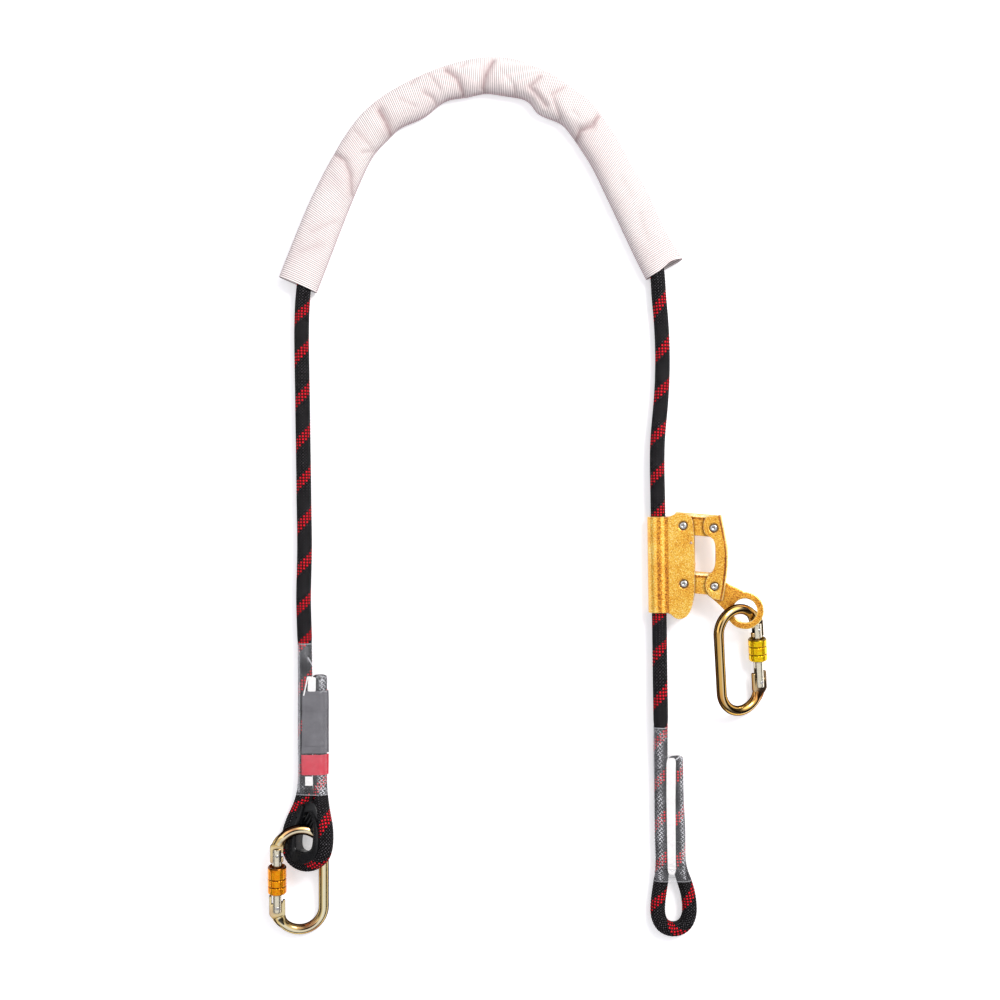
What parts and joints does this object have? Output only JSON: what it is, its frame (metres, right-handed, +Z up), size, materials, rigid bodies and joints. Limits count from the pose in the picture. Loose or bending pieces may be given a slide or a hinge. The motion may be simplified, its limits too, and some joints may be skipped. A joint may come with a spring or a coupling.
{
  "type": "tree climbing lanyard",
  "caption": "Braided rope positioning lanyard with sewn eyes, a tubular wear sleeve, a toggle-linkage rope grab and oval screw-gate connectors, lying flat.",
  "frame": {"origin": "on the plane it lies on, under the middle of its outline", "axes": "+Z up from that plane, +Y from the eyes to the arch, +X towards the rope grab's side"},
  "size_m": [0.4983, 0.8798, 0.0431],
  "materials": {
    "black_rope": "matt braided polyester with a red tracer",
    "webbing": "off-white woven webbing",
    "clear_film": "clear shrunk film",
    "grey_label": "translucent film",
    "white_label": "opaque strip",
    "thread": "sewing thread",
    "black_plastic": "moulded",
    "gold_zinc": "yellow zinc plated steel",
    "dark_steel": "cast steel",
    "rivet_steel": "bright rivets",
    "connector_zinc": "yellow zinc plated forging",
    "orange_anodised": "orange anodised",
    "yellow_anodised": "yellow anodised"
  },
  "bodies": {
    "lanyard": {"rope": "black_rope", "protective_sleeve": "webbing", "left_thimble": "black_plastic", "left_shrink_film": "clear_film", "right_shrink_film": "clear_film", "left_label": "grey_label", "right_label": "white_label", "left_stitching": "thread", "right_stitching": "thread"},
    "grab": {"grab_shell": "gold_zinc", "upper_body_rivet": "rivet_steel", "lower_body_rivet": "rivet_steel"},
    "lever": {"lower_arm": "gold_zinc", "cam_lever": "gold_zinc"},
    "upper_link": {"upper_arm": "gold_zinc", "upper_cam": "dark_steel"},
    "handle_link": {"handle": "gold_zinc", "upper_handle_rivet": "rivet_steel", "lower_handle_rivet": "rivet_steel"},
    "left_connector": {"left_loop": "connector_zinc", "left_hinge_pin": "rivet_steel"},
    "left_gate": {"left_gate_tube": "connector_zinc", "left_latch_pin": "rivet_steel", "left_gate_spring": "rivet_steel"},
    "left_lock": {"left_lock_sleeve": "orange_anodised"},
    "left_plunger": {"left_gate_plunger": "rivet_steel"},
    "right_connector": {"right_loop": "connector_zinc", "right_hinge_pin": "rivet_steel"},
    "right_gate": {"right_gate_tube": "connector_zinc", "right_latch_pin": "rivet_steel", "right_gate_spring": "rivet_steel"},
    "right_lock": {"right_lock_sleeve": "yellow_anodised"},
    "right_plunger": {"right_gate_plunger": "rivet_steel"}
  },
  "joints": [
    {"name": "grab_slide", "type": "slide", "parent": "lanyard", "child": "grab", "axis": [0.0133, -0.9999, 0], "range_m": [-0.05, 0.098]},
    {"name": "lever_turn", "type": "hinge", "parent": "grab", "child": "lever", "pos_m": [0.16522, -0.08792, 0.01558], "axis": [-0.1856, -0.0025, 0.9826], "range_deg": [0, 25]},
    {"name": "upper_link_turn", "type": "hinge", "parent": "grab", "child": "upper_link", "pos_m": [0.16446, -0.03042, 0.01558], "axis": [-0.1856, -0.0025, 0.9826], "range_deg": [-0.5, 25.5]},
    {"name": "handle_turn", "type": "hinge", "parent": "lever", "child": "handle_link", "pos_m": [0.19462, -0.09014, 0.02113], "axis": [-0.1856, -0.0025, 0.9826], "range_deg": [-25.5, 0.5]},
    {"name": "left_connector_swing", "type": "hinge", "parent": "lanyard", "child": "left_connector", "pos_m": [-0.2054, -0.3421, 0.0201], "axis": [0, 0, 1], "range_deg": [0, 10]},
    {"name": "left_gate_turn", "type": "hinge", "parent": "left_connector", "child": "left_gate", "pos_m": [-0.23966, -0.40972, 0.01433], "axis": [-0.1726, 0.1395, -0.9751], "range_deg": [0, 4], "stiffness_Nm_per_rad": 0.1, "springref_deg": -20.05},
    {"name": "left_lock_slide", "type": "slide", "parent": "left_gate", "child": "left_lock", "axis": [-0.0175, -0.9902, -0.1386], "range_m": [-0.011, 0]},
    {"name": "left_plunger_slide", "type": "slide", "parent": "left_gate", "child": "left_plunger", "axis": [0.0175, 0.9902, 0.1386], "range_m": [-0.0001, 0.0006]},
    {"name": "right_connector_swing", "type": "hinge", "parent": "lever", "child": "right_connector", "pos_m": [0.22775, -0.11324, 0.02658], "axis": [0, 0, 1], "range_deg": [-9, 20]},
    {"name": "right_gate_turn", "type": "hinge", "parent": "right_connector", "child": "right_gate", "pos_m": [0.24126, -0.18652, 0.00699], "axis": [0.456, -0.1265, 0.881], "range_deg": [0, 5.5], "stiffness_Nm_per_rad": 0.1, "springref_deg": -20.05},
    {"name": "right_lock_slide", "type": "slide", "parent": "right_gate", "child": "right_lock", "axis": [0.0789, -0.9802, -0.1816], "range_m": [-0.009, 0.008]},
    {"name": "right_plunger_slide", "type": "slide", "parent": "right_gate", "child": "right_plunger", "axis": [-0.0789, 0.9802, 0.1816], "range_m": [-0.0001, 0.0006]}
  ],
  "couplings": [
    {"joint": "upper_link_turn", "follows": "lever_turn", "ratio": 1},
    {"joint": "handle_turn", "follows": "lever_turn", "ratio": -1},
    {"joint": "left_plunger_slide", "follows": "left_gate_turn", "m_per_rad": 0.004},
    {"joint": "right_plunger_slide", "follows": "right_gate_turn", "m_per_rad": 0.004}
  ]
}
